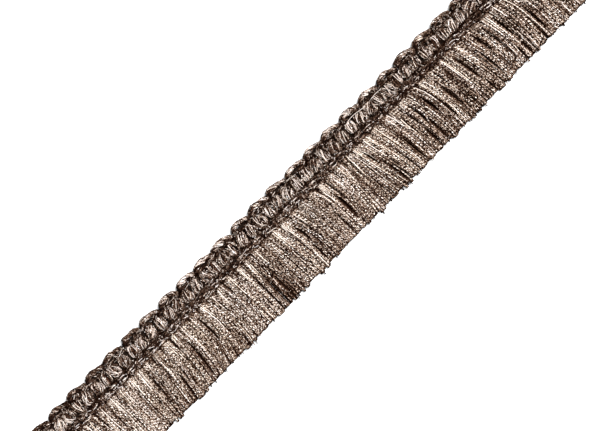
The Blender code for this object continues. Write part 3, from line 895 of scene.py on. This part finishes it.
def open_clefts(x, layers):
    """Moves the yarns aside where the brush parts, and tells how deep each one sinks into a cleft.

    A cleft's line sways as the brush does there, and its width is 1.25 times its table's. A yarn keeps to the
    side where it is at the cleft's middle: its distance from the line becomes held + half the width
    exp(-held / 1.3 mm) layer^2, where held is that distance or 0 if it crosses over. The undermost yarns
    aren't moved, so they close the cleft's floor. Sinking = depth exp(-(distance / 0.56 width)^2). Both are
    eased out towards 1.35 times the cleft's reach."""
    sunk = np.zeros_like(x)
    above_back = ramp(layers, 0.15, 0.40)
    for along, middle, reach, width, depth in zip(*CLEFTS.values()):
        lean, bow = (at(LEANS, name, along * MM) for name in ("lean", "bow"))
        line = (along + sway(lean, bow, DOWN) - sway(lean, bow, middle)) * MM
        width = 1.25 * width * MM
        away = x - line
        side = np.where(away[:, [np.argmin(np.abs(DOWN - middle))]] < 0.0, -1.0, 1.0)
        distance = side * away
        held = np.maximum(distance, 0.0)
        parted = held + 0.5 * width * np.exp(-held / (1.3 * MM)) * layers**2
        opened = ramp(np.abs(DOWN - middle) / (1.35 * reach), 1.0, 2.0 / 7.0)
        distance = distance + opened * above_back * (np.abs(away) < 3.0 * MM) * (parted - distance)
        x = line + side * distance
        sunk = np.maximum(sunk, depth * opened * np.exp(-((distance / (0.56 * width)) ** 2)))
    return x, sunk


def bright_shine(roots):
    """The painted sheen of the bright bundles on each yarn: gain exp(-(distance / 0.55 width)^4) across each of
    them, fading out from 0.6 to 1.1 times its reach down the brush."""
    shine = 0.0
    for along, width, gain, reach in zip(*BRIGHT_BUNDLES.values()):
        lean, bow = (at(LEANS, name, along * MM) for name in ("lean", "bow"))
        root = (along - sway(lean, bow, BRIGHT_DOWN)) * MM
        near = np.exp(-(((roots - root) / (0.55 * width * MM)) ** 4))
        shine = shine + gain * near * ramp(DOWN, 1.1 * reach, 0.6 * reach)
    return shine


def brush_tones(dice, roots, layers, in_bundle, root_sheen, dye, sunk):
    """How light each yarn is along its length, with painted sheen and painted shade.

    Tone = 1 + its dye + its own tone + its patches + the painted sheen of its bundle near the root, all times
    the light of the place, + the painted sheen of the bright bundles + a painted glint on one yarn in 17.
    Towards +X the yarns are streaky, with more of their own tone and less of patches, and their cut ends
    lighter. One yarn in 17 has a dark stretch, and yarns in clefts and splits get painted shade. The tone is
    held under a lightest one, and is then darkened by painted shade, 0.04 + 1.06 layer^2.8 by depth, at the
    root and at the cut itself."""
    each = roots.shape
    streaky = ramp(roots, 5.0 * MM, 50.0 * MM)
    tones = 1.0 + dye + (0.12 + 0.34 * streaky) * dice.standard_normal(each)
    tones = tones + (0.28 - 0.08 * streaky) * wander(dice, len(roots), len(DOWN), 1.1)
    crown = np.sqrt(np.clip(1.0 - (2.0 * in_bundle) ** 2, 0.0, 1.0))
    # Painted highlight on the crown of each bundle, near the roots.
    tones = tones + 0.45 * root_sheen * crown * np.exp(-((DOWN / 0.22) ** 2))
    shine = bright_shine(roots)
    tones = tones * at(LEANS, "light", roots) + 0.80 * shine
    stretch = window(DOWN, dice.random(each), dice.uniform(0.15, 0.5, each))
    glint = (dice.random(each) < 0.06) * stretch
    dark = (dice.random(each) < 0.06) * stretch
    tones = (tones + 1.2 * glint) * (1.0 + 0.36 * ramp(DOWN, 0.82, 0.94) * ramp(roots, -40.0 * MM, 130.0 * MM))
    # Painted shade darkens the yarns that sink into clefts and splits.
    tones = tones * (1.0 - 0.75 * dark) * (1.0 - 0.96 * sunk)
    lightest = 1.65 + 0.25 * shine - 0.20 * ramp(DOWN, 0.25, 0.65) + 0.7 * glint
    # Painted shade by depth and at the cut ends; the return also paints shade at the roots.
    shade = (0.04 + 1.06 * layers**2.8) * (1.0 - 0.9 * ramp(DOWN, 0.970, 0.992))
    return np.clip(tones, 0.05, lightest) * shade * (0.10 + 0.90 * ramp(DOWN, 0.022, 0.062))


def brush_paths(dice, habits, lock_seed, roots, layers, sizes):
    """The paths and tones of the brush yarns, from their roots to their cut ends. Roots and layers are columns.

    x = root - gathering into the bundle + sway + clinging to the lock + splits + drift + clefts, where the
    undermost yarns drift less. y runs from the root strip down to the yarn's own cut end, and z is its
    layer's share of the brush's thickness there, less in clefts."""
    count, each = len(roots), roots.shape
    bundle = np.clip(np.floor((roots + LENGTH / 2) / STITCH).astype(int), 0, STITCHES - 1)
    bundle_middles = (np.arange(STITCHES) + 0.5) * STITCH - LENGTH / 2
    from_middle = roots - bundle_middles[bundle]
    in_bundle = from_middle / STITCH
    lock = lock_habits(np.random.default_rng(lock_seed), roots)

    end_fade = np.clip((LENGTH / 2 - np.abs(roots)) / (8.0 * MM), 0.0, 1.0)
    even_lean = np.interp(roots, bundle_middles, habits["lean"])
    lean = at(LEANS, "lean", roots) * MM + even_lean + layers**2 * (habits["lean"][bundle] - even_lean)
    bow = at(LEANS, "bow", roots) * MM + np.interp(roots, bundle_middles, habits["bow"]) + lock["bow"] * layers
    split = lock_splits(lock)
    x = roots - 0.24 * ramp(DOWN, 0.18, 0.0) * layers**1.5 * from_middle
    x = x + end_fade * (sway(lean, bow, DOWN) + lock["lean"] * layers * DOWN**1.6)
    x = x - 0.16 * (roots - lock["middle"]) * layers * DOWN**1.5
    x = x + 0.24 * MM * np.sign(lock["away"]) * split * layers**2
    drift = 0.17 * MM * (0.25 + 0.75 * ramp(layers, 0.0, 0.4))
    x = x + drift * wander(dice, count, len(DOWN), 2.0) * ramp(DOWN, 0.0, 0.25)
    x, sunk = open_clefts(x, layers)
    # Yarns in a split also count as sunk, which later paints shade on them.
    sunk = np.maximum(sunk, 0.85 * split)

    reach = BRUSH_LOW.y - 0.5 * MM + sizes.unevenness * (0.30 * np.abs(dice.standard_normal(each)) - 0.15)
    reach = reach + tooth_reaches(np.random.default_rng(lock_seed + 1), roots, sizes.unevenness)
    reach = reach - (dice.random(each) < 0.02) * dice.uniform(0.3, 1.2, each) * MM
    root_y = BRUSH_ROOT_Y + 0.5 * MM * dice.random(each)
    y = root_y + (reach - root_y) * DOWN

    floor = 0.5 * BACK_YARN_SWELL * sizes.brush_yarn_width + 0.02 * MM
    thickness = BRUSH_THICKNESS * (
        0.52
        + 0.48 * ramp(DOWN, 0.0, 0.20)
        - 0.34 * ramp(DOWN, 0.35, 1.0)
        - 0.96 * in_bundle**2 * ramp(DOWN, 0.22, 0.0)
        + 0.06 * lock["rise"] * DOWN
    )
    z = floor + layers * (thickness * (1.0 - 0.75 * sunk) - floor)
    z = z + 0.10 * MM * wander(dice, count, len(DOWN), 1.5) * (layers > 0.15)
    paths = np.stack([x, y, np.maximum(z, floor)], axis=-1)
    dye = 0.7 * lock["dye"] + 0.85 * habits["drift"][bundle[:, 0]]
    return paths, brush_tones(dice, roots, layers, in_bundle, habits["root_sheen"][bundle], dye, sunk)


def build_brush(sizes, colours):
    """The brush: cut yarns in layers from the floor up, in pieces that each hold the layers of one depth.

    The yarns of the undermost piece are spread wider. A layer is a yarn's height, from 0 at the floor to 1."""
    material = yarn_material(
        "brush_yarn_finish", colours.brush, relief=0.10 * MM, gloss=0.03,
        twist=2.8, groove_shade=0.12, side_shade=0.07, crimp=0.42, softness=0.22,
        fleck_length=0.76, fleck_strength=1.15, cloud_size=3000.0, cloud_strength=0.6,
    )
    depths = len(BRUSH_NAMES)
    count = sizes.brush_yarns // depths
    habits = bundle_habits(np.random.default_rng(sizes.seed + 7))
    for depth, name in enumerate(BRUSH_NAMES):
        dice = np.random.default_rng(sizes.seed + 11 + depth)
        order = (np.arange(count) + dice.random(count)) / count
        roots = ((order - 0.5) * (LENGTH - 0.8 * MM))[:, None]
        layers = (depth + dice.random(roots.shape)) / depths
        paths, tones = brush_paths(dice, habits, sizes.seed + 19, roots, layers, sizes)
        radii = 0.5 * sizes.brush_yarn_width * (1.0 + 0.12 * dice.standard_normal(roots.shape))
        radii = radii * (BACK_YARN_SWELL if depth == 0 else 1.0)
        yarn = YarnMesh()
        yarn.add_tubes(paths, radii, tones, *dye_lots(dice, count), sides=4)
        yarn.build(name, material, "brush_yarn", *(("brush",) if depth == depths - 1 else ()))


def loose_arcs(dice, count, length_low, length_high, steps):
    """Paths of short loose fibres that start at the origin: each bends by a steady angle for every step.

    Heading at step i = start + bend i, and the path is the running sum of cos and sin of it."""
    start = dice.uniform(0.0, TURN, (count, 1))
    bend = dice.normal(0.0, 0.22, (count, 1))
    heading = start + bend * np.arange(steps - 1)
    stride = dice.uniform(length_low, length_high, (count, 1)) / (steps - 1)
    flat = np.stack([np.cos(heading) * stride, np.sin(heading) * stride], axis=-1)
    run = np.concatenate([np.zeros((count, 1, 2)), np.cumsum(flat, axis=1)], axis=1)
    rise = 0.12 * MM * wander(dice, count, steps, 2.0)
    return np.concatenate([run, (rise - rise[:, :1])[:, :, None]], axis=-1)


def loose_end_path(share):
    """The bright loose end on the heading, which dips once under the stitches. Share s runs from 0 to 1.

    x = 38.5 + 19 s, y = 2.45 + 0.35 sin(9 s) - 0.5 s, z = 3.75 + 0.12 cos(16 s) - 1.6 dip, in millimetres."""
    x = 38.5 + 19.0 * share
    y = 2.45 + 0.35 * np.sin(9.0 * share) - 0.5 * share
    z = 3.75 + 0.12 * np.cos(16.0 * share) - 1.6 * window(share, 0.61, 0.12)
    return np.stack([x, y, z], axis=-1) * MM


def build_loose_yarns(sizes, colours):
    """Fine fibres that stand off the cord and the cut ends, and one bright end, loose on the heading."""
    dice = np.random.default_rng(sizes.seed + 29)
    count = 420
    paths = loose_arcs(dice, count, 0.8 * MM, 2.6 * MM, steps=8)
    along = dice.uniform(-0.49, 0.49, count) * LENGTH
    on_cord = dice.random(count) < 0.45
    across = np.where(on_cord, dice.uniform(2.0, 6.3, count), dice.uniform(-31.0, -12.0, count)) * MM
    height = np.where(on_cord, 3.3, 3.5) * MM
    paths = paths + np.stack([along, across, height], axis=-1)[:, None]
    yarn = YarnMesh()
    yarn.add_tubes(paths, 0.045 * MM, 1.3, dice.random(count), dice.random(count), sides=3)
    path = loose_end_path(np.linspace(0.0, 1.0, 40))
    yarn.add_tubes(path[None], radii=0.10 * MM, tones=1.5, dyes=0.0, starts=0.0, sides=6)
    material = yarn_material(
        "loose_yarn_finish", colours.brush, relief=0.02 * MM, gloss=0.08,
        twist=1.8, groove_shade=0.6, fleck_strength=0.2, cloud_strength=0.1,
    )
    return yarn.build("loose_yarns", material, "brush_yarn")


def floor_material(colour):
    """Pale smooth floor with a barely uneven finish."""
    material, nodes, shader, place = new_finish("floor_finish", gloss=0.2)
    cloud = nodes.spread(nodes.noise(place, scale=12.0, detail=3.0).outputs[0], 0.3, 0.7, 0.0, 1.0)
    paler = [min(1.0, value * 1.01) for value in colour]
    nodes.feed(shader["Base Color"], nodes.mix(cloud, (*colour, 1.0), (*paler, 1.0)))
    shader["Roughness"].default_value = 0.85
    return material


def build_floor(colour):
    """A wide flat floor under the trimming."""
    corners = [(x * FLOOR_HALF, y * FLOOR_HALF, 0.0) for x, y in ((-1, -1), (1, -1), (1, 1), (-1, 1))]
    mesh = bpy.data.meshes.new("floor")
    mesh.from_pydata(corners, [], [(0, 1, 2, 3)])
    mesh.materials.append(floor_material(colour))
    floor = bpy.data.objects.new("floor", mesh)
    bpy.context.scene.collection.objects.link(floor)


def add_area_light(name, place, size, power):
    """A square soft light at a place, turned to face the middle of the trimming."""
    data = bpy.data.lights.new(name, "AREA")
    data.shape = "SQUARE"
    data.size = size
    data.energy = power
    light = bpy.data.objects.new(name, data)
    light.location = place
    light.rotation_euler = (-light.location).to_track_quat("-Z", "Y").to_euler()
    bpy.context.scene.collection.objects.link(light)


def build_lights():
    """A soft key high over the trimming's +X end, a weaker fill across from it and an even pale surround."""
    add_area_light("key_light", (1.20, 0.16, 2.92), size=1.44, power=212.0)
    add_area_light("fill_light", (-0.5, -0.4, 1.0), size=1.0, power=3.0)
    world = bpy.data.worlds.new("studio_surround")
    world.use_nodes = True
    background = world.node_tree.nodes["Background"].inputs
    background["Color"].default_value = (1.0, 1.0, 1.0, 1.0)
    background["Strength"].default_value = 0.14
    bpy.context.scene.world = world
    bpy.context.scene.view_settings.view_transform = "Standard"


def build_camera():
    """A long lens straight above the trimming, turned so that the trimming climbs from lower left."""
    data = bpy.data.cameras.new("camera")
    data.lens = 120.0
    data.sensor_width = 36.0
    data.clip_start = 0.05
    data.clip_end = 20.0
    camera = bpy.data.objects.new("camera", data)
    distance = VIEW_LENGTH * data.lens / data.sensor_width
    camera.location = (0.0, VIEW_CENTRE_Y, distance + 3.0 * MM)
    camera.rotation_euler = (0.0, 0.0, math.radians(VIEW_TURN))
    bpy.context.scene.collection.objects.link(camera)
    bpy.context.scene.camera = camera


class FRINGE_OT_ground(bpy.types.Operator):
    """Knits the ground band that lies under the cord"""

    bl_idname = "fringe.ground"
    bl_label = "Ground band"

    def execute(self, context):
        mesh = ground_band_mesh()
        mesh.materials.append(knit_material("ground_yarn_finish", tuple(context.scene.fringe_colours.ground)))
        add_piece("ground_band", mesh, "ground_yarn", "heading_band")
        return {"FINISHED"}


class FRINGE_OT_gimp_cord(bpy.types.Operator):
    """Winds the gimp cord to and fro, with its puffs and scallops"""

    bl_idname = "fringe.gimp_cord"
    bl_label = "Gimp cord"

    def execute(self, context):
        build_gimp_cord(context.scene.fringe_sizes, context.scene.fringe_colours)
        return {"FINISHED"}


class FRINGE_OT_chains(bpy.types.Operator):
    """Ties the cord down with the outer and inner chain stitches"""

    bl_idname = "fringe.chains"
    bl_label = "Chain stitches"

    def execute(self, context):
        sizes, colours = context.scene.fringe_sizes, context.scene.fringe_colours
        build_chain("outer_chain", sizes.seed + 3, sizes, colours, lightest=2.6)
        build_chain("inner_chain", sizes.seed + 4, sizes, colours, lightest=1.9)
        return {"FINISHED"}


class FRINGE_OT_loop_row(bpy.types.Operator):
    """Knits the row of loops over the roots of the brush"""

    bl_idname = "fringe.loop_row"
    bl_label = "Row of loops"

    def execute(self, context):
        build_loop_row(context.scene.fringe_sizes, context.scene.fringe_colours)
        return {"FINISHED"}


class FRINGE_OT_brush(bpy.types.Operator):
    """Lays the cut yarns of the brush, layer on layer"""

    bl_idname = "fringe.brush"
    bl_label = "Brush"

    def execute(self, context):
        build_brush(context.scene.fringe_sizes, context.scene.fringe_colours)
        return {"FINISHED"}


class FRINGE_OT_loose_yarns(bpy.types.Operator):
    """Adds the fine loose fibres and the one loose end on the heading"""

    bl_idname = "fringe.loose_yarns"
    bl_label = "Loose yarns"

    def execute(self, context):
        build_loose_yarns(context.scene.fringe_sizes, context.scene.fringe_colours)
        return {"FINISHED"}


class FRINGE_OT_stage(bpy.types.Operator):
    """Sets the pale floor, the soft lights and the camera"""

    bl_idname = "fringe.stage"
    bl_label = "Stage"

    def execute(self, context):
        build_floor(tuple(context.scene.fringe_colours.floor))
        build_lights()
        build_camera()
        return {"FINISHED"}


class FRINGE_PT_pieces(bpy.types.Panel):
    """Lists the sizes, the colours and the pieces of the fringe"""

    bl_idname = "FRINGE_PT_pieces"
    bl_label = "Brush Fringe"
    bl_space_type = "VIEW_3D"
    bl_region_type = "UI"
    bl_category = "Fringe"

    def draw(self, context):
        layout = self.layout
        for group in (context.scene.fringe_sizes, context.scene.fringe_colours):
            box = layout.box()
            for name in group.__annotations__:
                box.prop(group, name)
        for operator in PIECE_OPERATORS:
            layout.operator(operator.bl_idname)


PIECE_OPERATORS = (
    FRINGE_OT_ground,
    FRINGE_OT_gimp_cord,
    FRINGE_OT_chains,
    FRINGE_OT_loop_row,
    FRINGE_OT_brush,
    FRINGE_OT_loose_yarns,
    FRINGE_OT_stage,
)
CLASSES = (FringeSizes, FringeColours, *PIECE_OPERATORS, FRINGE_PT_pieces)


def register():
    """Registers the classes, and gives every scene the sizes and the colours."""
    for cls in CLASSES:
        bpy.utils.register_class(cls)
    bpy.types.Scene.fringe_sizes = PointerProperty(type=FringeSizes)
    bpy.types.Scene.fringe_colours = PointerProperty(type=FringeColours)


def unregister():
    """Undoes what register does, in the opposite order."""
    del bpy.types.Scene.fringe_colours
    del bpy.types.Scene.fringe_sizes
    for cls in reversed(CLASSES):
        bpy.utils.unregister_class(cls)


def main():
    """Builds every piece and the stage."""
    register()
    bpy.ops.fringe.ground()
    bpy.ops.fringe.gimp_cord()
    bpy.ops.fringe.chains()
    bpy.ops.fringe.loop_row()
    bpy.ops.fringe.brush()
    bpy.ops.fringe.loose_yarns()
    bpy.ops.fringe.stage()


if __name__ == "__main__":
    main()
